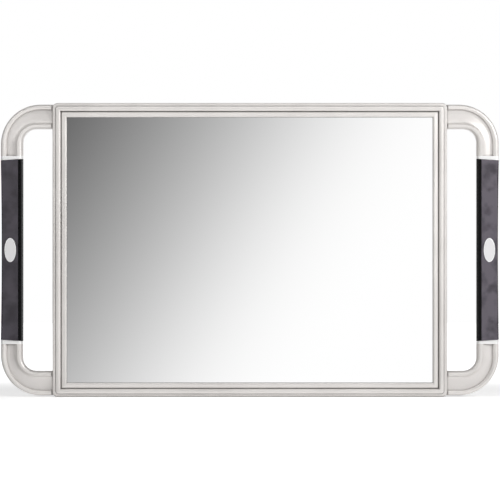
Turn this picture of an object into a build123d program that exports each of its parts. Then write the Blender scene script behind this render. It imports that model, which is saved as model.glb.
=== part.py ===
from build123d import *
import os
from math import sqrt

# Salon back mirror: a framed mirror held by two fixed C-shaped handles.
# Millimetres. X runs right and Z runs up as seen from the front, and Y runs to the back.
# The origin is under the flat lower edge, in the middle of the width and of the depth.

# Frame
frame_width = 396.0
frame_height = 295.0
frame_depth = 24.0

# Rear tray
tray_wall = 3.0
tray_back = 2.5
tray_corner = 5.0
tray_lip_setback = 1.3
tray_lip_round = 1.2
tray_back_round = 2.5
rib_thickness = 1.8
rib_columns = 4
rib_rows = 2
post_radius = 4.5
back_groove_inset = 28.0
back_groove_width = 1.2
back_groove_depth = 0.6

# Front bezel, with its section measured inwards from the edge of the frame
skirt_gap = 0.3
bezel_corner = 2.6
moulding_width = 4.9
outer_fall = 0.7
inner_fall = 2.0
crease_width = 0.9
crease_depth = 1.0
band_drop = 0.7
band_width = 3.3
band_rise = 0.5
lip_round = 1.8
lip_cover = 3.8
lip_thickness = 5.1
skirt_wall = 1.8
bezel_boss_radius = 3.0

# Pieces held in the frame, stacked from the lip of the bezel to the ribs of the tray
seal_thickness = 0.8
seal_width = 2.8
seal_setback = 0.6
glass_thickness = 2.0
glass_clearance = 0.6
glass_bevel = 0.4
card_thickness = 3.0
foam_thickness = 4.0
foam_size = 28.0
post_clearance = 1.1

# Handles
handle_reach = 52.0
handle_inset = 1.5
arm_width = 24.5
bar_width = 22.0
handle_outer_corner = 40.0
handle_inner_corner = 13.5
handle_setback = 4.0
handle_thickness = 18.0
parting_offset = 1.0
arm_gap = 0.1
root_notch_width = 1.2
root_notch_depth = 1.4
handle_wall = 2.4
arm_end_wall = 3.0
front_outer_round = 2.5
front_inner_round = 4.0
rear_round = 5.0
bend_run = 11.5
collar_length = 3.0
handle_boss_radius = 4.2

# Channel of a handle, from its rims down to its floor: the depth below the rims, then how far
# its outer and inner edges lie from the outside of the arm, then the same two on the bar.
# The rims slope down from the first level to the second, and the channel begins there.
channel_levels = (
    (0.0, 3.0, 20.2, 3.0, 16.4),
    (0.6, 4.6, 19.3, 5.4, 15.4),
    (1.5, 4.8, 18.6, 5.7, 13.8),
    (2.4, 5.0, 15.5, 6.0, 11.6),
    (3.1, 5.3, 9.0, 6.4, 8.8),
)

# Tongues that hold the handles in the tray
tongue_length = 26.0
tongue_width = 16.0
tongue_thickness = 6.0
tongue_clearance = 0.2
tongue_pad_margin = 2.0

# Rubber grips
grip_rake = 1.5
grip_waist = 0.9
grip_proud = 1.2
grip_skin = 2.6
grip_fit = 0.1
grip_front_round = 1.5
grip_rear_round = 5.0
core_round = 2.5
face_width = 17.3
groove_wall = 0.6
groove_width = 1.3
groove_depth = 2.0
bead_radius = 0.7
edge_drop = 5.0

# Oval badges on the grips
badge_width = 11.6
badge_height = 24.2
badge_offset = 1.5
badge_thickness = 1.4
badge_recess = 0.8
badge_clearance = 0.15
badge_rim = 0.9
badge_dish = 0.35
tape_thickness = 0.3
tape_margin = 0.6

# Pan-head self-tapping screws
screw_radius = 1.45
pilot_clearance = 0.05
passage_clearance = 0.25
head_radius = 2.75
head_height = 2.0
head_clearance = 0.45
head_round = 0.8
recess_span = 3.2
recess_width = 0.8
recess_depth = 1.2
bezel_screw_length = 12.0
bezel_screw_seat = 4.0
lug_screw_length = 8.0
lug_screw_seat = 2.4
lug_screw_inset = 8.0
lug_screw_pitch = 12.0
half_screw_length = 8.0
half_screw_seat = 4.5
half_screw_inset = 31.0
pilot_spare = 0.3
columns_of_screws = 4
rows_of_screws = 3
screw_corner_x = 48.0
screw_corner_z = 60.0

# Depths along Y that the pieces share
front_y = -frame_depth / 2
back_y = frame_depth / 2
tray_floor_y = back_y - tray_back
lip_y = front_y + tray_lip_setback
seal_y = front_y + lip_thickness
glass_y = seal_y + seal_thickness
card_y = glass_y + glass_thickness
foam_y = card_y + card_thickness
rib_y = foam_y + foam_thickness
post_y = foam_y + post_clearance
handle_front_y = front_y + handle_setback
handle_back_y = handle_front_y + handle_thickness
parting_y = post_y + parting_offset
tongue_back_y = parting_y + tongue_thickness

# Places across the frame that the pieces share
side_x = frame_width / 2
mid_z = frame_height / 2
bezel_inset = tray_wall + skirt_gap
opening_inset = bezel_inset + moulding_width + crease_width + band_width + lip_round
rebate_inset = opening_inset - lip_cover
glass_inset = rebate_inset + glass_clearance
boss_inset = (bezel_inset + rebate_inset) / 2

# Outline of a handle and the places on it
handle_side_x = side_x + handle_reach
handle_root_x = side_x + arm_gap
handle_top_z = frame_height - handle_inset
arm_mid_z = handle_top_z - arm_width / 2
bar_mid_x = handle_side_x - bar_width / 2
bend_inset = 1 - 1 / sqrt(2)
bend_x = handle_side_x - (bar_width + (handle_outer_corner + handle_inner_corner) * bend_inset) / 2
bend_z = handle_top_z - (arm_width + (handle_outer_corner + handle_inner_corner) * bend_inset) / 2
grip_length = frame_height - 2 * (handle_inset + handle_outer_corner + bend_run + collar_length)
grip_front_y = handle_front_y - grip_proud
grip_back_y = handle_back_y + grip_proud
core_width = bar_width - 2 * grip_skin
half_seat_y = parting_y + half_screw_seat
channel_depth = max(level[0] for level in channel_levels)
cavity_front_y = handle_front_y + channel_depth + handle_wall


def slab(outline, y_near, y_far):
    """Solid between two depths, from an outline drawn in X and Z."""
    return extrude(Plane.XZ.offset(-y_far) * outline, amount=y_far - y_near)


def plate(inset, y_near, y_far, corner=0.0):
    """Solid that follows the edge of the frame at an inset."""
    width, height = frame_width - 2 * inset, frame_height - 2 * inset
    outline = RectangleRounded(width, height, corner) if corner > 0 else Rectangle(width, height)
    return slab(Pos(0, mid_z) * outline, y_near, y_far)


def rod(x, z, radius, y_near, y_far):
    """Round solid along Y."""
    return slab(Pos(x, z) * Circle(radius), y_near, y_far)


def block(x_low, x_high, y_low, y_high, z_low, z_high):
    """Box given by its limits along each axis."""
    centre = Pos((x_low + x_high) / 2, (y_low + y_high) / 2, (z_low + z_high) / 2)
    return centre * Box(x_high - x_low, y_high - y_low, z_high - z_low)


def flip_x(shape):
    """Copy on the other side of the frame, left for right."""
    return mirror(shape, about=Plane.YZ)


def flip_z(shape):
    """Copy on the other side of the frame, top for bottom."""
    return mirror(shape, about=Plane.XY.offset(mid_z))


def both_ends(shape):
    """A shape and its copy at the other end of the handle."""
    return shape + flip_z(shape)


def edges_at(shape, y, pick=lambda edge: True):
    """Edges that lie at one depth and pass a test."""
    return shape.edges().filter_by_position(Axis.Y, y - 0.01, y + 0.01).filter_by(pick)


def spread(low, high, count):
    """Evenly spaced places from low to high, both included."""
    return [low + (high - low) * i / (count - 1) for i in range(count)]


# Places of the screws that hold the bezel to the tray
def bezel_screw_places():
    rows = [boss_inset, frame_height - boss_inset]
    columns = [-side_x + boss_inset, side_x - boss_inset]
    along = spread(-side_x + screw_corner_x, side_x - screw_corner_x, columns_of_screws)
    up = spread(screw_corner_z, frame_height - screw_corner_z, rows_of_screws)
    return [(x, z) for z in rows for x in along] + [(x, z) for x in columns for z in up]


# Places of the screws that hold the tongues of the handles
def lug_screw_places():
    first = side_x - lug_screw_inset
    right = [(first - i * lug_screw_pitch, z) for i in range(2)
             for z in (arm_mid_z, frame_height - arm_mid_z)]
    return right + [(-x, z) for x, z in right]


# Places of the screws that hold the two halves of the right handle together
def half_screw_places():
    upper = [(bend_x, bend_z), (bar_mid_x, mid_z + grip_length / 2 - half_screw_inset)]
    return upper + [(x, frame_height - z) for x, z in upper]


def screw(x, z, seat_y, length):
    """Pan-head screw driven from the back, with a cross recess in its head."""
    head = rod(x, z, head_radius, seat_y, seat_y + head_height)
    head = fillet(edges_at(head, seat_y + head_height), head_round)
    shank = rod(x, z, screw_radius, seat_y - length, seat_y)
    shank = chamfer(edges_at(shank, seat_y - length), screw_radius / 2)
    cross = Rectangle(recess_span, recess_width) + Rectangle(recess_width, recess_span)
    top_y = seat_y + head_height
    return head + shank - slab(Pos(x, z) * cross, top_y - recess_depth, top_y)


# Rear tray: the back shell of the frame, with the ribs, posts and pads on its floor
def make_rear_tray():
    tray = plate(0, lip_y, back_y, tray_corner)
    tray = fillet(edges_at(tray, back_y), tray_back_round)
    tray = fillet(edges_at(tray, lip_y), tray_lip_round)
    tray -= plate(tray_wall, lip_y, tray_floor_y, bezel_corner + skirt_gap)
    for x in spread(-side_x, side_x, rib_columns + 2)[1:-1]:
        tray += block(x - rib_thickness / 2, x + rib_thickness / 2, rib_y, tray_floor_y,
                      tray_wall / 2, frame_height - tray_wall / 2)
    for z in spread(0, frame_height, rib_rows + 2)[1:-1]:
        tray += block(-side_x + tray_wall / 2, side_x - tray_wall / 2, rib_y, tray_floor_y,
                      z - rib_thickness / 2, z + rib_thickness / 2)
    for x, z in bezel_screw_places():
        tray += rod(x, z, post_radius, post_y, tray_floor_y)
    pad_half = tongue_width / 2 + tongue_pad_margin
    pad = block(side_x - tongue_length - tongue_pad_margin, side_x - tray_wall / 2,
                tongue_back_y, tray_floor_y, arm_mid_z - pad_half, arm_mid_z + pad_half)
    slot_half = tongue_width / 2 + tongue_clearance
    slot = block(side_x - 2 * tray_wall, side_x + 1, parting_y - tongue_clearance, tongue_back_y,
                 arm_mid_z - slot_half, arm_mid_z + slot_half)
    tray += both_ends(pad) + flip_x(both_ends(pad))
    tray -= both_ends(slot) + flip_x(both_ends(slot))
    for x, z in bezel_screw_places():
        seat_y = post_y + bezel_screw_seat
        tray -= rod(x, z, head_radius + head_clearance, seat_y, back_y)
        tray -= rod(x, z, screw_radius + passage_clearance, post_y, seat_y)
    for x, z in lug_screw_places():
        seat_y = tongue_back_y + lug_screw_seat
        tray -= rod(x, z, head_radius + head_clearance, seat_y, back_y)
        tray -= rod(x, z, screw_radius + passage_clearance, tongue_back_y, seat_y)
    groove_y = back_y - back_groove_depth
    groove = plate(back_groove_inset, groove_y, back_y, tray_corner)
    return tray - (groove - plate(back_groove_inset + back_groove_width, groove_y, back_y, tray_corner))


# Front bezel: a raised rounded moulding, a crease, a flat band and a rounded lip.
# Its section is drawn as distance in from the edge of the frame, and depth.
lower_plane = Plane(origin=(0, 0, 0), x_dir=(0, 0, 1), z_dir=(-1, 0, 0))
side_plane = Plane(origin=(side_x, 0, mid_z), x_dir=(-1, 0, 0), z_dir=(0, 0, -1))


def rounding(crest, side):
    """Curve of the section, level at its crest and upright at its side."""
    return Bezier(crest, (side[0], crest[1]), side)


def along_sides(section, inset):
    """Section run along the lower side and the right side, between corners at an inset."""
    lower = extrude(lower_plane * section, amount=side_x - inset, both=True)
    side = extrude(side_plane * section, amount=mid_z - inset, both=True)
    return lower, side


def outer_ring(section, inset):
    """Section run round the frame, turned at corners whose centres lie at an inset."""
    lower, side = along_sides(section, inset)
    corner = revolve(lower_plane.offset(inset - side_x) * section,
                     Axis((side_x - inset, 0, inset), (0, 1, 0)), -90)
    corners = both_ends(corner)
    return both_ends(lower) + side + flip_x(side) + corners + flip_x(corners)


def inner_ring(section, inset):
    """Section run round the frame, mitred at corners that lie at an inset."""
    lower, side = along_sides(section, inset)
    mitre_x = side_x - mid_z
    lower_limit = Polyline((-side_x, 0), (side_x, 0), (mitre_x, mid_z), (-mitre_x, mid_z), (-side_x, 0))
    side_limit = Polyline((side_x, 0), (side_x, frame_height), (mitre_x, mid_z), (side_x, 0))
    lower &= slab(make_face(lower_limit), front_y, back_y)
    side &= slab(make_face(side_limit), front_y, back_y)
    return both_ends(lower) + side + flip_x(side)


def make_front_bezel():
    crest_inset = bezel_inset + bezel_corner
    crease_inset = bezel_inset + moulding_width
    band_inset = crease_inset + crease_width
    round_inset = band_inset + band_width
    shoulder_y = front_y + inner_fall
    band_y = shoulder_y + band_drop
    round_y = band_y - band_rise
    crest, crest_back = (crest_inset, front_y), (crest_inset, foam_y)
    outer_shoulder, shoulder = (bezel_inset, front_y + outer_fall), (crease_inset, shoulder_y)
    crease_floor = (crease_inset + crease_width / 2, band_y + crease_depth)
    lip_crest, lip_side = (round_inset, round_y), (opening_inset, round_y + lip_round)
    outer_section = make_face([
        rounding(crest, outer_shoulder),
        Polyline(crest, crest_back, (bezel_inset, foam_y), outer_shoulder),
    ])
    inner_section = make_face([
        rounding(crest, shoulder),
        Polyline(shoulder, crease_floor, (band_inset, band_y), lip_crest),
        rounding(lip_crest, lip_side),
        Polyline(lip_side, (opening_inset, seal_y), (rebate_inset, seal_y),
                 (rebate_inset, foam_y), crest_back, crest),
    ])
    bezel = outer_ring(outer_section, crest_inset) + inner_ring(inner_section, crest_inset)
    hollow = plate(bezel_inset + skirt_wall, seal_y, foam_y, bezel_corner - skirt_wall)
    bezel -= hollow - plate(rebate_inset - skirt_wall, seal_y, foam_y)
    pilot_y = post_y + bezel_screw_seat - bezel_screw_length - pilot_spare
    for x, z in bezel_screw_places():
        bezel += rod(x, z, bezel_boss_radius, seal_y, post_y)
        bezel -= rod(x, z, screw_radius + pilot_clearance, pilot_y, post_y)
    return bezel


# Glass: a silvered sheet that lies behind the lip
def make_mirror_glass():
    glass = plate(glass_inset, glass_y, card_y)
    return chamfer(edges_at(glass, glass_y), glass_bevel)


# Seal: four felt strips between the lip and the glass, butted at the corners
def make_glass_seal_strips():
    outer, inner = glass_inset + seal_setback, glass_inset + seal_setback + seal_width
    lower = block(-side_x + outer, side_x - outer, seal_y, glass_y, outer, inner)
    side = block(side_x - inner, side_x - outer, seal_y, glass_y,
                 inner, frame_height - inner)
    return Compound([lower.solid(), flip_z(lower).solid(), side.solid(), flip_x(side).solid()])


# Backing card: stiff board as large as the glass
def make_backing_card():
    return plate(glass_inset, card_y, foam_y)


# Foam pads: one on each crossing of the ribs, pressed on the card
def make_foam_pads():
    columns = spread(-side_x, side_x, rib_columns + 2)[1:-1]
    rows = spread(0, frame_height, rib_rows + 2)[1:-1]
    half = foam_size / 2
    return Compound([block(x - half, x + half, foam_y, rib_y, z - half, z + half).solid()
                     for x in columns for z in rows])


def edge_radius(arm_place, bar_place):
    """Radius in the bend of a line that runs these distances from the outside of the handle."""
    share = (arm_place / arm_width + bar_place / bar_width) / 2
    return handle_outer_corner + (handle_inner_corner - handle_outer_corner) * share


def handle_outline():
    """Outline of the whole right handle, shaped like a C that opens to the frame."""
    inner_top, inner_x = handle_top_z - arm_width, handle_side_x - bar_width
    low, inner_low = frame_height - handle_top_z, frame_height - inner_top
    outer = FilletPolyline((handle_root_x, handle_top_z), (handle_side_x, handle_top_z),
                           (handle_side_x, low), (handle_root_x, low), radius=handle_outer_corner)
    inner = FilletPolyline((handle_root_x, inner_low), (inner_x, inner_low),
                           (inner_x, inner_top), (handle_root_x, inner_top),
                           radius=handle_inner_corner)
    return make_face([outer, Line((handle_root_x, low), (handle_root_x, inner_low)),
                      inner, Line((handle_root_x, inner_top), (handle_root_x, handle_top_z))])


def bend_outline(arm_outer, arm_inner, bar_outer, bar_inner, root_x, end_z):
    """Outline along the upper arm and round the bend, given by its distances from the outside."""
    top, under = handle_top_z - arm_outer, handle_top_z - arm_inner
    right, left = handle_side_x - bar_outer, handle_side_x - bar_inner
    outer = FilletPolyline((root_x, top), (right, top), (right, end_z),
                           radius=edge_radius(arm_outer, bar_outer))
    inner = FilletPolyline((left, end_z), (left, under), (root_x, under),
                           radius=edge_radius(arm_inner, bar_inner))
    return make_face([outer, Line((right, end_z), (left, end_z)),
                      inner, Line((root_x, under), (root_x, top))])


def grip_outline(spare):
    """Side limits of the room for the right grip, with raked ends, wider than the bar."""
    rake = grip_rake / bar_width
    low_x, high_x = handle_side_x - 2 * bar_width, handle_side_x + bar_width
    inner_half = grip_length / 2 + spare + rake * bar_width
    outer_half = grip_length / 2 + spare - rake * 2 * bar_width
    return make_face(Polyline((low_x, mid_z - inner_half), (high_x, mid_z - outer_half),
                              (high_x, mid_z + outer_half), (low_x, mid_z + inner_half),
                              (low_x, mid_z - inner_half)))


def core_bar(inset, corner):
    """Bar along the grip, inside the core of the handle by an inset."""
    width = core_width - 2 * inset
    depth = handle_thickness + 2 * (grip_proud - grip_skin) - 2 * inset
    centre = Pos(bar_mid_x, (handle_front_y + handle_back_y) / 2)
    return extrude(Plane.XY.offset(mid_z) * centre * RectangleRounded(width, depth, corner),
                   amount=grip_length / 2 + collar_length, both=True)


def grip_room():
    """What is cut off the handle to leave its core under the grip."""
    room = slab(grip_outline(grip_fit), grip_front_y - 1, grip_back_y + 1)
    return room - core_bar(0, core_round)


def handle_cavity(y_near, y_far):
    """Hollow inside one half of the right handle."""
    end_z = mid_z + grip_length / 2 + collar_length
    bend = slab(bend_outline(handle_wall, arm_width - handle_wall, handle_wall,
                             bar_width - handle_wall, handle_root_x + arm_end_wall, end_z),
                y_near, y_far)
    half = core_width / 2 - handle_wall
    along = end_z + handle_wall
    bar = block(bar_mid_x - half, bar_mid_x + half, y_near, y_far, frame_height - along, along)
    return both_ends(bend) + bar


def off_root(edge):
    """True for an edge of a handle's outline, but not for those at its roots."""
    return edge.center().X > handle_root_x + 0.1


def by_gap(edge):
    """True for an edge of a handle's outline on the side of the finger gap."""
    place, reach = edge.center(), mid_z - handle_inset - arm_width + 0.1
    return place.X < handle_side_x - bar_width + 0.1 and abs(place.Z - mid_z) < reach


# Front half of the right handle: two rims with a channel between them
def make_handle_front():
    half = slab(handle_outline(), handle_front_y, parting_y)
    for inner, radius in ((False, front_outer_round), (True, front_inner_round)):
        half = fillet(edges_at(half, handle_front_y,
                               lambda edge: off_root(edge) and by_gap(edge) == inner), radius)
    end_z = mid_z + grip_length / 2 + collar_length
    levels = [Plane.XZ.offset(-(handle_front_y + depth))
              * bend_outline(*places, handle_root_x, end_z) for depth, *places in channel_levels]
    half -= both_ends(loft(levels[:2], ruled=True) + loft(levels[1:]))
    half -= block(side_x, handle_root_x + root_notch_width, handle_front_y,
                  handle_front_y + root_notch_depth, 0, frame_height)
    half -= handle_cavity(cavity_front_y, parting_y)
    for x, z in half_screw_places():
        half += rod(x, z, handle_boss_radius, cavity_front_y, parting_y)
        half -= rod(x, z, screw_radius + pilot_clearance,
                    half_seat_y - half_screw_length - pilot_spare, parting_y)
    return half - grip_room()


# Rear half of the right handle: a rounded back and the two tongues that enter the tray
def make_handle_rear():
    half = slab(handle_outline(), parting_y, handle_back_y)
    half = fillet(edges_at(half, handle_back_y, off_root), rear_round)
    half -= handle_cavity(parting_y, handle_back_y - handle_wall)
    tongue = block(side_x - tongue_length, handle_root_x + arm_end_wall, parting_y, tongue_back_y,
                   arm_mid_z - tongue_width / 2, arm_mid_z + tongue_width / 2)
    half += both_ends(tongue)
    for x, z in half_screw_places():
        half += rod(x, z, handle_boss_radius, parting_y, handle_back_y - handle_wall)
        half -= rod(x, z, head_radius + head_clearance, half_seat_y, handle_back_y)
        half -= rod(x, z, screw_radius + passage_clearance, parting_y, half_seat_y)
    for x, z in lug_screw_places():
        if x > 0:
            half -= rod(x, z, screw_radius + pilot_clearance, parting_y, tongue_back_y)
    return half - grip_room()


# Right grip: a rubber sleeve with a flat face, a side groove with a bead, and a slight waist
def make_grip():
    face_x = handle_side_x - face_width
    inner_x = handle_side_x - bar_width
    groove_x = face_x - groove_wall
    bead_x = groove_x - groove_width
    floor_y = grip_front_y + groove_depth
    edge_y = grip_front_y + edge_drop
    section = make_face([
        Polyline((bead_x, floor_y), (groove_x, floor_y), (face_x, grip_front_y),
                 (handle_side_x, grip_front_y), (handle_side_x, grip_back_y),
                 (inner_x, grip_back_y), (inner_x, edge_y), (bead_x - 2 * bead_radius, floor_y)),
        ThreePointArc((bead_x - 2 * bead_radius, floor_y),
                      (bead_x - bead_radius, floor_y - bead_radius), (bead_x, floor_y)),
    ])
    half_length = grip_length / 2
    grip = extrude(Plane.XY.offset(mid_z) * section, amount=half_length, both=True)
    outer_half = half_length - grip_rake
    outline = make_face([
        Polyline((handle_side_x, mid_z + outer_half), (inner_x, mid_z + half_length),
                 (inner_x, mid_z - half_length), (handle_side_x, mid_z - outer_half)),
        ThreePointArc((handle_side_x, mid_z - outer_half), (handle_side_x - grip_waist, mid_z),
                      (handle_side_x, mid_z + outer_half)),
    ])
    grip &= slab(outline, grip_front_y, grip_back_y)
    grip = fillet(edges_at(grip, grip_back_y, lambda edge: edge.length > half_length), grip_rear_round)
    front_edges = edges_at(grip, grip_front_y, lambda edge: edge.length > half_length)
    grip = fillet(front_edges.sort_by(Axis.X)[-1:], grip_front_round)
    grip -= core_bar(-grip_fit, core_round + grip_fit)
    recess = badge_outline(badge_clearance)
    return grip - slab(recess, grip_front_y, grip_front_y + badge_recess)


def badge_outline(margin):
    """Oval of the right badge, wider all round by a margin."""
    oval = Ellipse(badge_width / 2 + margin, badge_height / 2 + margin)
    return Pos(bar_mid_x + badge_offset, mid_z) * oval


# Badge tape: the adhesive pad in the recess of the grip
def make_badge_tape():
    tape_back_y = grip_front_y + badge_recess
    return slab(badge_outline(-tape_margin), tape_back_y - tape_thickness, tape_back_y)


# Badge: a blank oval plate with a raised rim
def make_badge():
    back = grip_front_y + badge_recess - tape_thickness
    front = back - badge_thickness
    badge = slab(badge_outline(0), front, back)
    badge = fillet(edges_at(badge, front), badge_rim / 3)
    return badge - slab(badge_outline(-badge_rim), front, front + badge_dish)


def make_bezel_screws():
    return Compound([screw(x, z, post_y + bezel_screw_seat, bezel_screw_length).solid()
                     for x, z in bezel_screw_places()])


def make_lug_screws():
    return Compound([screw(x, z, tongue_back_y + lug_screw_seat, lug_screw_length).solid()
                     for x, z in lug_screw_places()])


def make_half_screws():
    return Compound([screw(sign * x, z, half_seat_y, half_screw_length).solid()
                     for sign in (1, -1) for x, z in half_screw_places()])


# Every node of the part, with the right-hand pieces mirrored for the left
nodes = {
    "rear_tray": make_rear_tray(),
    "front_bezel": make_front_bezel(),
    "mirror_glass": make_mirror_glass(),
    "glass_seal_strips": make_glass_seal_strips(),
    "backing_card": make_backing_card(),
    "foam_pads": make_foam_pads(),
    "bezel_screws": make_bezel_screws(),
    "handle_lug_screws": make_lug_screws(),
    "handle_half_screws": make_half_screws(),
}
paired = {
    "handle_front": make_handle_front(),
    "handle_rear": make_handle_rear(),
    "grip": make_grip(),
    "badge_tape": make_badge_tape(),
    "badge": make_badge(),
}
for name, shape in paired.items():
    nodes["right_" + name] = shape
    nodes["left_" + name] = flip_x(shape)

os.makedirs("parts", exist_ok=True)
for name, shape in nodes.items():
    export_step(shape, f"parts/{name}.step")
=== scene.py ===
import math

import bmesh
import bpy
from mathutils import Matrix, Vector


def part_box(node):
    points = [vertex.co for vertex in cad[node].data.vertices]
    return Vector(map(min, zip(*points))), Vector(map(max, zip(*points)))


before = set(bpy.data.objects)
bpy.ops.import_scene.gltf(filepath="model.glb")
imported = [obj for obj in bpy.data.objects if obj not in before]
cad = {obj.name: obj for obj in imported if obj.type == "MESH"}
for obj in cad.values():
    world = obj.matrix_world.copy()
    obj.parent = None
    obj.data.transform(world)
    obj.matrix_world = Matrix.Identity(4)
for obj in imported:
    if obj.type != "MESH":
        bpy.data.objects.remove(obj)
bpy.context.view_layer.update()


# Rear tray: the back shell of the frame, moulded in ABS and sprayed a warm silver. The panel
# inside the groove on its back keeps the grain of the mould under the paint.
def add_node(tree, kind, **settings):
    """Adds a shader node and sets its own properties, or else its inputs by name."""
    node = tree.nodes.new("ShaderNode" + kind)
    for name, value in settings.items():
        if hasattr(node, name):
            setattr(node, name, value)
        else:
            node.inputs[name.replace("_", " ")].default_value = value
    return node


def join(tree, *sockets):
    """Links sockets in pairs, each output to the input after it."""
    for output, entry in zip(sockets[::2], sockets[1::2]):
        tree.links.new(output, entry)


def calculate(tree, operation, *values):
    """Result of a sum on values that are each a socket or a number."""
    node = add_node(tree, "Math", operation=operation)
    for entry, value in zip(node.inputs, values):
        if isinstance(value, (int, float)):
            entry.default_value = value
        else:
            tree.links.new(value, entry)
    return node.outputs[0]


def span(tree, value, low, high, start, end):
    """Maps a value smoothly from one span to another and stops at the ends."""
    node = add_node(tree, "MapRange", interpolation_type="SMOOTHSTEP",
                    From_Min=low, From_Max=high, To_Min=start, To_Max=end)
    tree.links.new(value, node.inputs["Value"])
    return node.outputs["Result"]


def mixed(tree, amount, first, second):
    """Blend of two colours, each a socket or a colour."""
    node = add_node(tree, "Mix", data_type="RGBA")
    for name, value in (("Factor_Float", amount), ("A_Color", first), ("B_Color", second)):
        entry = next(socket for socket in node.inputs if socket.identifier == name)
        if isinstance(value, tuple):
            entry.default_value = value
        else:
            tree.links.new(value, entry)
    return next(socket for socket in node.outputs if socket.identifier == "Result_Color")


def axes_of(tree, place):
    """X, Y and Z of the coordinates of the piece."""
    node = add_node(tree, "SeparateXYZ")
    join(tree, place, node.inputs[0])
    return node.outputs


def distance(tree, coordinate, middle=0.0):
    """How far a coordinate lies from a middle, on either side."""
    return calculate(tree, "ABSOLUTE", calculate(tree, "SUBTRACT", coordinate, middle))


def cells(tree, place, per_metre):
    """Random cells on the coordinates of the piece, with so many to the metre."""
    node = add_node(tree, "TexVoronoi", Scale=per_metre)
    join(tree, place, node.inputs["Vector"])
    return node.outputs


def noise(tree, place, per_metre, detail=2.0):
    """Noise on the coordinates of the piece, with so many waves to the metre."""
    node = add_node(tree, "TexNoise", Scale=per_metre, Detail=detail)
    join(tree, place, node.inputs["Vector"])
    return node.outputs["Fac"]


noise_low, noise_high = 0.3, 0.7


def spread(tree, value, start, end):
    """Spreads noise, which hardly leaves its middle values, over a whole span."""
    return span(tree, value, noise_low, noise_high, start, end)


def empty_tree(owner):
    """Node tree of a material or a world, with nothing in it."""
    owner.use_nodes = True
    owner.node_tree.nodes.clear()
    return owner.node_tree


def show(tree, shader, kind="Material"):
    """Sends a shader to the output of a material or a world."""
    join(tree, shader.outputs[0], add_node(tree, "Output" + kind).inputs["Surface"])


def start_finish(name, **settings):
    """Material with its tree, the coordinates of its piece and its surface shader."""
    finish = bpy.data.materials.new(name)
    tree = empty_tree(finish)
    place = add_node(tree, "TexCoord").outputs["Object"]
    surface = add_node(tree, "BsdfPrincipled", **settings)
    show(tree, surface)
    return finish, tree, place, surface


def set_bump(tree, surface, height, depth):
    """Gives a surface relief of a real depth from a height between 0 and 1."""
    bump = add_node(tree, "Bump", Distance=depth)
    join(tree, height, bump.inputs["Height"], bump.outputs["Normal"], surface.inputs["Normal"])


def dress(finish, *node_names):
    """Gives pieces of the frame one finish."""
    for name in node_names:
        mesh = cad[name].data
        mesh.materials.clear()
        mesh.materials.append(finish)


silver_bright = (0.84, 0.81, 0.785, 1)
silver_dull = (0.71, 0.68, 0.655, 1)
flake_pitch = 0.0003
flake_share = 0.18
cloud_pitch = 0.035
least_cloud, most_cloud = 0.4, 0.8
paint_smooth, paint_rough = 0.35, 0.43
paint_metal = 0.45
# Painted shade: the grey that the creases are painted with.
crease_shade_grey = (0.28, 0.26, 0.25, 1)
crease_reach = 0.0026
crease_samples = 8
shut_in, wide_open = 0.35, 0.95


def silver_paint(name):
    """Warm silver paint with flake, faint clouds and painted shade in its creases."""
    finish, tree, place, surface = start_finish(name, Metallic=paint_metal)
    flake = cells(tree, place, 1 / flake_pitch)["Color"]
    cloud = noise(tree, place, 1 / cloud_pitch, detail=3.0)
    tone = calculate(tree, "ADD", span(tree, flake, 0.0, 1.0, -flake_share, flake_share),
                     spread(tree, cloud, least_cloud, most_cloud))
    # Painted shade: the more shut in a crease is, the greyer it is painted.
    openness = add_node(tree, "AmbientOcclusion", samples=crease_samples, Distance=crease_reach)
    crease_shade_amount = span(tree, openness.outputs["AO"], shut_in, wide_open, 1.0, 0.0)
    clean = mixed(tree, tone, silver_dull, silver_bright)
    join(tree, mixed(tree, crease_shade_amount, clean, crease_shade_grey), surface.inputs["Base Color"],
         spread(tree, cloud, paint_smooth, paint_rough), surface.inputs["Roughness"])
    return finish, tree, place, surface


tray_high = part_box("rear_tray")[1]
middle_z = tray_high.z / 2
panel_inset = 0.0292
back_depth = 0.0002
grain_pitch = 0.0009
grain_depth = 0.00006

tray_silver, tree, place, surface = silver_paint("silver_tray")
axes = axes_of(tree, place)
inside_x = calculate(tree, "LESS_THAN", distance(tree, axes["X"]), tray_high.x - panel_inset)
inside_z = calculate(tree, "LESS_THAN", distance(tree, axes["Z"], middle_z),
                     middle_z - panel_inset)
on_back = calculate(tree, "GREATER_THAN", axes["Y"], tray_high.y - back_depth)
on_panel = calculate(tree, "MULTIPLY", calculate(tree, "MULTIPLY", inside_x, inside_z), on_back)
grain = calculate(tree, "MULTIPLY", on_panel, noise(tree, place, 1 / grain_pitch, detail=4.0))
set_bump(tree, surface, grain, grain_depth)
dress(tray_silver, "rear_tray")


# Foam pads and backing card: soft black foam between the ribs of the tray and a grey board
# that carries the glass. They lie loose until the bezel is screwed down on them.
foam_black = (0.012, 0.012, 0.013, 1)
foam_grey = (0.05, 0.05, 0.052, 1)
foam_cells_per_metre = 1200.0
foam_cell_depth = 0.0003

foam, tree, place, surface = start_finish("black_foam", Roughness=0.95)
cell_wall = cells(tree, place, foam_cells_per_metre)["Distance"]
join(tree, mixed(tree, cell_wall, foam_black, foam_grey), surface.inputs["Base Color"])
set_bump(tree, surface, cell_wall, foam_cell_depth)
dress(foam, "foam_pads")

board_dark = (0.24, 0.23, 0.21, 1)
board_light = (0.36, 0.35, 0.33, 1)
fibres_per_metre = 700.0
fibre_depth = 0.00005

board, tree, place, surface = start_finish("grey_card", Roughness=0.85)
fibres = noise(tree, place, fibres_per_metre, detail=5.0)
join(tree, mixed(tree, fibres, board_dark, board_light), surface.inputs["Base Color"])
set_bump(tree, surface, fibres, fibre_depth)
dress(board, "backing_card")


# Mirror glass: a 2 mm sheet of float glass, silvered on its back, with its edges ground.
# Nothing holds it but the pressure between the foam and the bezel.
glass_shine = 0.95
hazes_per_metre = 14.0
haze_start, haze_end = 0.4, 0.8
most_haze = 0.012

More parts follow.
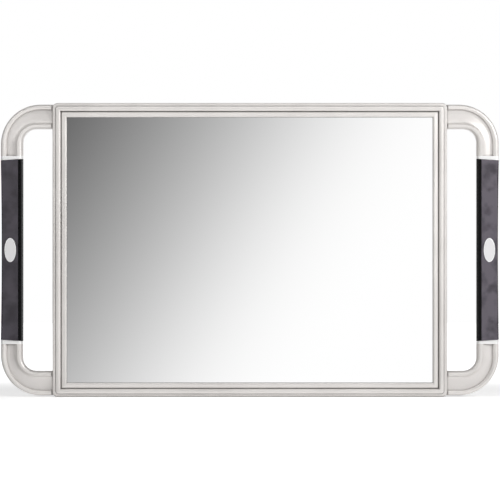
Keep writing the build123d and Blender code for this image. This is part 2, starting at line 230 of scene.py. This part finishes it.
silvered, tree, place, surface = start_finish(
    "silvered_glass", Metallic=1.0, Base_Color=(glass_shine, glass_shine, glass_shine, 1))
haze = noise(tree, place, hazes_per_metre)
join(tree, span(tree, haze, haze_start, haze_end, 0.0, most_haze), surface.inputs["Roughness"])
dress(silvered, "mirror_glass")


# Seal strips: dark felt, cut to length and stuck inside the lip of the bezel, so that the
# glass doesn't rattle. A hair of it shows round the glass.
felt_black = (0.018, 0.018, 0.02, 1)
felt_grey = (0.06, 0.06, 0.062, 1)
naps_per_metre = 2500.0
nap_depth = 0.0001

felt, tree, place, surface = start_finish("seal_felt", Roughness=1.0)
nap = noise(tree, place, naps_per_metre, detail=4.0)
join(tree, mixed(tree, nap, felt_black, felt_grey), surface.inputs["Base Color"])
set_bump(tree, surface, nap, nap_depth)
dress(felt, "glass_seal_strips")


# Front bezel: one injection-moulded ring in ABS, sprayed silver, with a raised moulding, a
# crease, a flat band and a rounded lip. Fourteen screws hold it from the back.
peel_pitch = 0.0012
peel_depth = 0.000006


def orange_peel(tree, place, surface):
    """Slight unevenness of sprayed paint."""
    set_bump(tree, surface, noise(tree, place, 1 / peel_pitch), peel_depth)


bezel_silver, tree, place, surface = silver_paint("silver_bezel")
orange_peel(tree, place, surface)
dress(bezel_silver, "front_bezel")


# Handles: each is a front and a rear half in sprayed ABS, screwed together round the bend.
# The collars beside the grips are painted near white as a painted highlight, and the channels
# are painted darker with depth as painted shade.
grip_low, grip_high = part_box("right_grip")
rim_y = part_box("right_handle_front")[0].y
# Painted highlight: near white for the collars beside the grips.
collar_highlight_colour = (0.97, 0.965, 0.96, 1)
collar_length = 0.003
collar_end = (grip_high.z - grip_low.z) / 2 + collar_length
collar_blend = 0.0002
# Painted shade: the colour that the deep floor of the channel is painted towards.
channel_shade_colour = (0.60, 0.575, 0.565, 1)
channel_start = 0.001
channel_end = 0.0027
channel_share = 0.3

handle_silver, tree, place, surface = silver_paint("silver_handle")
axes = axes_of(tree, place)
# Painted shade: the deeper a point lies in the channel, the darker it is painted.
in_channel = span(tree, axes["Y"], rim_y + channel_start, rim_y + channel_end,
                  0.0, channel_share)
# Painted highlight: the collars beside the grips are painted near white.
on_collar = span(tree, distance(tree, axes["Z"], middle_z),
                 collar_end - collar_blend, collar_end, 1.0, 0.0)
painted = surface.inputs["Base Color"].links[0].from_socket
channel_shaded = mixed(tree, in_channel, painted, channel_shade_colour)
join(tree, mixed(tree, on_collar, channel_shaded, collar_highlight_colour), surface.inputs["Base Color"])
orange_peel(tree, place, surface)
dress(handle_silver, "left_handle_front", "right_handle_front",
      "left_handle_rear", "right_handle_rear")


# Screws: pan-head self-tapping screws in zinc-plated steel, with a cross recess. They are
# driven from the back, so none shows from the front.
zinc_dark = (0.55, 0.56, 0.58, 1)
zinc_light = (0.70, 0.71, 0.73, 1)
zinc_smooth, zinc_rough = 0.25, 0.45
spangles_per_metre = 900.0
stains_per_metre = 400.0

zinc, tree, place, surface = start_finish("zinc_steel", Metallic=1.0)
spangle = cells(tree, place, spangles_per_metre)["Color"]
stain = noise(tree, place, stains_per_metre)
join(tree, mixed(tree, spangle, zinc_dark, zinc_light), surface.inputs["Base Color"],
     spread(tree, stain, zinc_smooth, zinc_rough), surface.inputs["Roughness"])
dress(zinc, "bezel_screws", "handle_lug_screws", "handle_half_screws")


# Grips: sleeves of black rubber, pushed over the cores of the handles. The flat face is painted
# lighter, partly for dust and rubs and partly as painted sheen, more so on the right grip as
# painted sheen from the key light, and the groove and the edges stay black.
rubber_black = (0.002, 0.002, 0.0025, 1)
rubber_rubs_and_sheen = (0.042, 0.038, 0.045, 1)
rubber_dust_and_sheen = (0.155, 0.14, 0.165, 1)
rubber_smooth, rubber_matt = 0.2, 0.35
left_dust_and_sheen, right_dust_and_sheen = 0.42, 1.2
least_patch = 0.25
dust_depth = 0.0003
dust_roughness = 0.3
smudges_per_metre = 70.0
pores_per_metre = 900.0
pore_depth = 0.00003

rubber, tree, place, surface = start_finish("black_rubber", Specular_IOR_Level=0.15)
axes = axes_of(tree, place)
# Painted sheen and dust: the flat face is painted lighter than the groove and the edges.
on_face = span(tree, axes["Y"], grip_low.y + dust_depth / 3, grip_low.y + dust_depth, 1.0, 0.0)
# Painted sheen: the face is painted lighter towards the right, where the key light is.
dust_and_sheen = span(tree, axes["X"], -grip_low.x, grip_low.x, left_dust_and_sheen, right_dust_and_sheen)
smudge = noise(tree, place, smudges_per_metre, detail=4.0)
patches = calculate(tree, "MULTIPLY", dust_and_sheen, spread(tree, smudge, least_patch, 1.0))
face_dust_and_sheen = mixed(tree, patches, rubber_rubs_and_sheen, rubber_dust_and_sheen)
pores = noise(tree, place, pores_per_metre, detail=3.0)
roughness = calculate(tree, "ADD", spread(tree, pores, rubber_smooth, rubber_matt),
                      calculate(tree, "MULTIPLY", on_face, dust_roughness))
join(tree, mixed(tree, on_face, rubber_black, face_dust_and_sheen), surface.inputs["Base Color"],
     roughness, surface.inputs["Roughness"])
set_bump(tree, surface, pores, pore_depth)
dress(rubber, "left_grip", "right_grip")


# Badges: blank oval plates, pressed from aluminium with a raised rim, each on a pad of
# adhesive tape in a shallow recess of the grip.
tape_dark = (0.5, 0.5, 0.48, 1)
tape_light = (0.62, 0.62, 0.6, 1)
tape_bumps_per_metre = 600.0

tape, tree, place, surface = start_finish("adhesive_tape", Roughness=0.6)
bumps = noise(tree, place, tape_bumps_per_metre)
join(tree, mixed(tree, bumps, tape_dark, tape_light), surface.inputs["Base Color"])
dress(tape, "left_badge_tape", "right_badge_tape")

badge_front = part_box("right_badge")[0].y
badge_satin = (0.78, 0.77, 0.78, 1)
satin_smooth, satin_rough = 0.35, 0.5
scratches_per_metre = 1500.0
# Partly polish and partly painted highlight: near white for the raised rim.
rim_polish_and_highlight = (0.97, 0.97, 0.97, 1)
rim_drop = 0.0002
rim_polish = 0.1

badge_metal, tree, place, surface = start_finish("badge_metal", Metallic=0.8)
# The raised rim is painted near white, partly for its polish and partly as a painted highlight.
on_rim = span(tree, axes_of(tree, place)["Y"], badge_front + rim_drop / 2,
              badge_front + rim_drop, 1.0, 0.0)
satin = spread(tree, noise(tree, place, scratches_per_metre), satin_smooth, satin_rough)
polish = calculate(tree, "MULTIPLY", on_rim, rim_polish)
join(tree, mixed(tree, on_rim, badge_satin, rim_polish_and_highlight), surface.inputs["Base Color"],
     calculate(tree, "SUBTRACT", satin, polish), surface.inputs["Roughness"])
dress(badge_metal, "left_badge", "right_badge")


# Camera: the mirror is seen straight on and from far away, so both handles look alike and
# the bezel is almost as wide on all four sides.
scene = bpy.context.scene
scene.view_settings.view_transform = "Standard"
picture_size = 500
metres_per_pixel = 0.0010046
picture_middle_x = 0.0002
camera_distance = 4.0
frame_middle = Vector((picture_middle_x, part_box("mirror_glass")[0].y, middle_z))
quarter_turn = math.radians(90)

lens = bpy.data.cameras.new("photo_lens")
lens.sensor_width = 36.0
lens.lens = lens.sensor_width * camera_distance / (picture_size * metres_per_pixel)
camera = bpy.data.objects.new("photo_camera", lens)
camera.location = frame_middle + Vector((0.0, -camera_distance, 0.0))
camera.rotation_euler = (quarter_turn, 0.0, 0.0)
scene.collection.objects.link(camera)
scene.camera = camera


# World: white where the camera looks past the object. Matt surfaces get an even level, and
# gloss sees more light in front, behind, to the right and below.
def along(tree, vector, direction):
    """How far a vector reaches along a direction, times the direction's length."""
    node = add_node(tree, "VectorMath", operation="DOT_PRODUCT")
    node.inputs[1].default_value = direction
    join(tree, vector, node.inputs[0])
    return node.outputs["Value"]


def choose(tree, amount, first, second):
    """First shader where the amount is 0 and second where it is 1."""
    node = add_node(tree, "MixShader")
    join(tree, amount, node.inputs[0], first.outputs[0], node.inputs[1],
         second.outputs[0], node.inputs[2])
    return node


pure_white = (1, 1, 1, 1)
matt_level = 0.3
gloss_ahead = (0.0, 1.06, 0.0)
gloss_slope = (0.42, 0.0, -0.8)
least_gloss = 0.2

world = bpy.data.worlds.new("white_studio")
scene.world = world
tree = empty_tree(world)
way = add_node(tree, "TexCoord").outputs["Generated"]
front_and_back = calculate(tree, "ABSOLUTE", along(tree, way, gloss_ahead))
sloped = calculate(tree, "ADD", front_and_back, along(tree, way, gloss_slope))
for_gloss = add_node(tree, "Background")
join(tree, calculate(tree, "MAXIMUM", sloped, least_gloss), for_gloss.inputs["Color"])
for_matt = add_node(tree, "Background", Color=pure_white, Strength=matt_level)
for_camera = add_node(tree, "Background", Color=pure_white)
ray = add_node(tree, "LightPath").outputs
for_object = choose(tree, ray["Is Glossy Ray"], for_matt, for_gloss)
show(tree, choose(tree, ray["Is Camera Ray"], for_object, for_camera), "World")


# Floor: white paper under the lower edge of the frame. The camera sees it brighter with the
# distance, so that it runs into the white behind but keeps the shadow.
def stage_sheet(name, half_size, turn, centre, finish):
    """Square sheet of the studio, made in place."""
    shape = bmesh.new()
    bmesh.ops.create_grid(shape, x_segments=1, y_segments=1, size=half_size)
    bmesh.ops.rotate(shape, verts=shape.verts, cent=(0, 0, 0), matrix=turn)
    bmesh.ops.translate(shape, verts=shape.verts, vec=centre)
    mesh = bpy.data.meshes.new(name)
    shape.to_mesh(mesh)
    shape.free()
    mesh.materials.append(finish)
    sheet = bpy.data.objects.new(name, mesh)
    scene.collection.objects.link(sheet)
    return sheet


floor_half_size = 4.0
paper_white = (0.9, 0.9, 0.9, 1)
near_glow, far_glow = 0.45, 1.0
glow_start, glow_end = 0.3, 0.8

paper = bpy.data.materials.new("white_paper")
tree = empty_tree(paper)
matt = add_node(tree, "BsdfDiffuse", Color=paper_white)
away = add_node(tree, "VectorMath", operation="LENGTH")
join(tree, add_node(tree, "TexCoord").outputs["Object"], away.inputs[0])
level = span(tree, away.outputs["Value"], glow_start, glow_end, near_glow, far_glow)
camera_ray = add_node(tree, "LightPath").outputs["Is Camera Ray"]
glow = add_node(tree, "Emission")
join(tree, calculate(tree, "MULTIPLY", camera_ray, level), glow.inputs["Strength"])
both = add_node(tree, "AddShader")
join(tree, matt.outputs[0], both.inputs[0], glow.outputs[0], both.inputs[1])
show(tree, both)
floor = stage_sheet("floor", floor_half_size, Matrix.Identity(3), (0, 0, 0), paper)
floor.visible_glossy = False


# Light card: a sheet behind the camera that only reflections see. It is grey at its upper
# left and white at its lower right, which is what the glass shows.
light_card_distance = 0.25
light_card_half_size = 0.9
middle_level = 0.9208
rise_right = 1.874
rise_down = 1.171
least_shown = 0.3
white_knee = 0.25
display_gamma = 2.2

# A point of the glass reflects one of the card that lies so many times as far from the middle.
reflected_scale = 2.0 + light_card_distance / camera_distance

graded = bpy.data.materials.new("graded_light")
tree = empty_tree(graded)
centred = add_node(tree, "Mapping", Location=-frame_middle)
join(tree, add_node(tree, "TexCoord").outputs["Object"], centred.inputs["Vector"])
rise = along(tree, centred.outputs[0],
             (rise_right / reflected_scale, 0.0, -rise_down / reflected_scale))
bent = calculate(tree, "SMOOTH_MIN", calculate(tree, "ADD", rise, middle_level),
                 1.0, white_knee)
shown = calculate(tree, "MAXIMUM", bent, least_shown)
glow = add_node(tree, "Emission", Strength=1 / glass_shine)
join(tree, calculate(tree, "POWER", shown, display_gamma), glow.inputs["Color"])
show(tree, glow)
light_card_middle = frame_middle + Vector((0.0, -camera_distance - light_card_distance, 0.0))
light_card = stage_sheet("light_card", light_card_half_size,
                         Matrix.Rotation(quarter_turn, 3, "X"), light_card_middle, graded)
light_card.visible_camera = False
light_card.visible_diffuse = False
light_card.visible_transmission = False
light_card.visible_shadow = False


# Lamps: the key light is close on the upper right, with a fill on the upper left and a soft
# light high in front.
def soft_lamp(name, place, size, power):
    """Square lamp that looks at the middle of the frame."""
    data = bpy.data.lights.new(name, "AREA")
    data.size = size
    data.energy = power
    lamp = bpy.data.objects.new(name, data)
    lamp.location = place
    lamp.rotation_euler = (frame_middle - Vector(place)).to_track_quat("-Z", "Y").to_euler()
    scene.collection.objects.link(lamp)


soft_lamp("key_lamp", place=(0.75, -0.75, 0.6), size=0.5, power=4.4)
soft_lamp("fill_lamp", place=(-0.7, -0.75, 0.65), size=0.5, power=1.5)
soft_lamp("top_lamp", place=(0.0, -0.7, 0.9), size=0.6, power=1.5)
